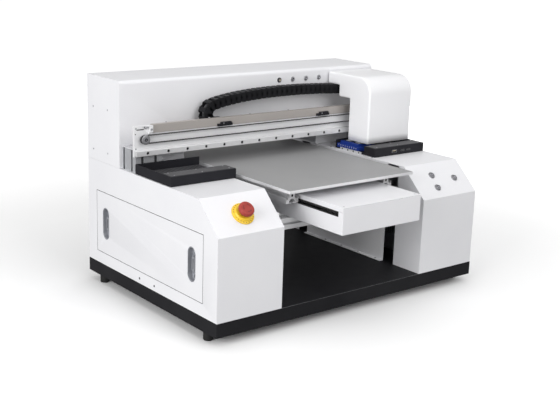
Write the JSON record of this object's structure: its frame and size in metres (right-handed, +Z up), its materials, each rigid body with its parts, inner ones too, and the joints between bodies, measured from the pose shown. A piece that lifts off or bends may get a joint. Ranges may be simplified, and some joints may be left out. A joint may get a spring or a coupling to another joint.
{
  "type": "flatbed uv printer",
  "caption": "Desktop flatbed UV printer: a head carriage on a gantry rail crosses a sliding, height-adjustable bed between two white side covers on a black base.",
  "frame": {"origin": "floor level, middle of the outer box", "axes": "+X to the right along the gantry, +Y from the bed's front to the hood, +Z up"},
  "size_m": [0.9, 0.72, 0.584],
  "materials": {
    "white_sheet": "satin powder coat",
    "white_shell": "semi-gloss moulded cover",
    "black_sheet": "fine textured powder coat",
    "black_plastic": "matte moulded",
    "black_rubber": "matte",
    "aluminium": "satin anodised",
    "steel": "ground",
    "bed_surface": "bead blasted, anodised",
    "trough": "bronze grey anodised",
    "stop_red": "moulded",
    "stop_yellow": "moulded",
    "cap_blue": "moulded"
  },
  "bodies": {
    "root": {"base_tray": "black_sheet", "foot_front_left": "black_rubber", "foot_front_right": "black_rubber", "foot_back_left": "black_rubber", "foot_back_right": "black_rubber", "left_cover": "white_sheet", "left_inner_panel": "white_sheet", "left_post": "aluminium", "left_tray": "black_plastic", "left_lift_motor": "black_sheet", "right_cover": "white_sheet", "right_inner_panel": "white_sheet", "right_post": "aluminium", "right_tray": "black_plastic", "right_lift_motor": "black_sheet", "stop_ring": "stop_yellow", "hood_shell": "white_sheet", "hood_back_panel": "white_sheet", "gantry_beam": "aluminium", "gantry_plate": "aluminium", "x_rail": "steel", "chain_trough": "trough", "x_belt": "black_rubber", "x_motor": "black_sheet", "cable_chain": "black_plastic", "cap_station": "cap_blue", "power_supply": "steel", "control_unit": "black_sheet", "power_inlet": "black_plastic"},
    "carriage": {"carriage_cover": "white_shell", "carriage_block": "aluminium", "print_head": "steel", "uv_lamp": "aluminium"},
    "bed_unit": {"y_box": "white_sheet", "y_box_lid": "white_sheet", "left_y_rail": "steel", "right_y_rail": "steel", "front_cross_beam": "aluminium", "rear_cross_beam": "aluminium", "left_lift_carrier": "steel", "right_lift_carrier": "steel"},
    "bed": {"bed_plate": "bed_surface", "left_bed_profile": "aluminium", "right_bed_profile": "aluminium", "bed_saddle": "aluminium"},
    "left_pulley": {"left_pulley": "steel"},
    "right_pulley": {"right_pulley": "steel"},
    "left_screw": {"left_lift_screw": "steel"},
    "right_screw": {"right_lift_screw": "steel"},
    "left_door": {"left_door": "white_sheet"},
    "right_door": {"right_door": "white_sheet"},
    "stop_head": {"stop_head": "stop_red"},
    "slope_button_1": {"slope_button_1": "steel"},
    "slope_button_2": {"slope_button_2": "steel"},
    "slope_button_3": {"slope_button_3": "steel"},
    "hood_button_1": {"hood_button_1": "steel"},
    "hood_button_2": {"hood_button_2": "steel"},
    "hood_button_3": {"hood_button_3": "steel"},
    "hood_button_4": {"hood_button_4": "steel"}
  },
  "joints": [
    {"name": "carriage_travel", "type": "slide", "parent": "root", "child": "carriage", "axis": [1, 0, 0], "range_m": [-0.46, 0], "deforming": ["cable_chain", "x_belt"]},
    {"name": "bed_lift", "type": "slide", "parent": "root", "child": "bed_unit", "axis": [0, 0, 1], "range_m": [-0.08, 0.015]},
    {"name": "bed_travel", "type": "slide", "parent": "bed_unit", "child": "bed", "axis": [0, 1, 0], "range_m": [-0.21, 0.14]},
    {"name": "left_screw_turn", "type": "hinge", "parent": "root", "child": "left_screw", "pos_m": [-0.3, 0.046, 0.11], "axis": [0, 0, 1], "continuous": true},
    {"name": "right_screw_turn", "type": "hinge", "parent": "root", "child": "right_screw", "pos_m": [0.286, 0.046, 0.11], "axis": [0, 0, 1], "continuous": true},
    {"name": "left_pulley_turn", "type": "hinge", "parent": "root", "child": "left_pulley", "pos_m": [-0.421, 0.1, 0.4415], "axis": [0, 1, 0], "continuous": true},
    {"name": "right_pulley_turn", "type": "hinge", "parent": "root", "child": "right_pulley", "pos_m": [0.421, 0.1, 0.4415], "axis": [0, 1, 0], "continuous": true},
    {"name": "stop_press", "type": "slide", "parent": "root", "child": "stop_head", "axis": [0, 0.6873, -0.7264], "range_m": [0, 0.005], "stiffness_N_per_m": 900, "springref_m": -0.002},
    {"name": "left_door_pull", "type": "slide", "parent": "root", "child": "left_door", "axis": [-1, 0, 0], "range_m": [0, 0.15]},
    {"name": "right_door_pull", "type": "slide", "parent": "root", "child": "right_door", "axis": [1, 0, 0], "range_m": [0, 0.15]},
    {"name": "slope_button_1_press", "type": "slide", "parent": "root", "child": "slope_button_1", "axis": [0, 0.6873, -0.7264], "range_m": [0, 0.0025], "stiffness_N_per_m": 500, "springref_m": -0.001},
    {"name": "slope_button_2_press", "type": "slide", "parent": "root", "child": "slope_button_2", "axis": [0, 0.6873, -0.7264], "range_m": [0, 0.0025], "stiffness_N_per_m": 500, "springref_m": -0.001},
    {"name": "slope_button_3_press", "type": "slide", "parent": "root", "child": "slope_button_3", "axis": [0, 0.6873, -0.7264], "range_m": [0, 0.0025], "stiffness_N_per_m": 500, "springref_m": -0.001},
    {"name": "hood_button_1_press", "type": "slide", "parent": "root", "child": "hood_button_1", "axis": [0, 1, 0], "range_m": [0, 0.002], "stiffness_N_per_m": 400, "springref_m": -0.001},
    {"name": "hood_button_2_press", "type": "slide", "parent": "root", "child": "hood_button_2", "axis": [0, 1, 0], "range_m": [0, 0.002], "stiffness_N_per_m": 400, "springref_m": -0.001},
    {"name": "hood_button_3_press", "type": "slide", "parent": "root", "child": "hood_button_3", "axis": [0, 1, 0], "range_m": [0, 0.002], "stiffness_N_per_m": 400, "springref_m": -0.001},
    {"name": "hood_button_4_press", "type": "slide", "parent": "root", "child": "hood_button_4", "axis": [0, 1, 0], "range_m": [0, 0.002], "stiffness_N_per_m": 400, "springref_m": -0.001}
  ],
  "couplings": [
    {"joint": "left_screw_turn", "follows": "bed_lift", "rad_per_m": 628.32},
    {"joint": "right_screw_turn", "follows": "bed_lift", "rad_per_m": 628.32},
    {"joint": "left_pulley_turn", "follows": "carriage_travel", "rad_per_m": 102.04},
    {"joint": "right_pulley_turn", "follows": "carriage_travel", "rad_per_m": 102.04}
  ]
}
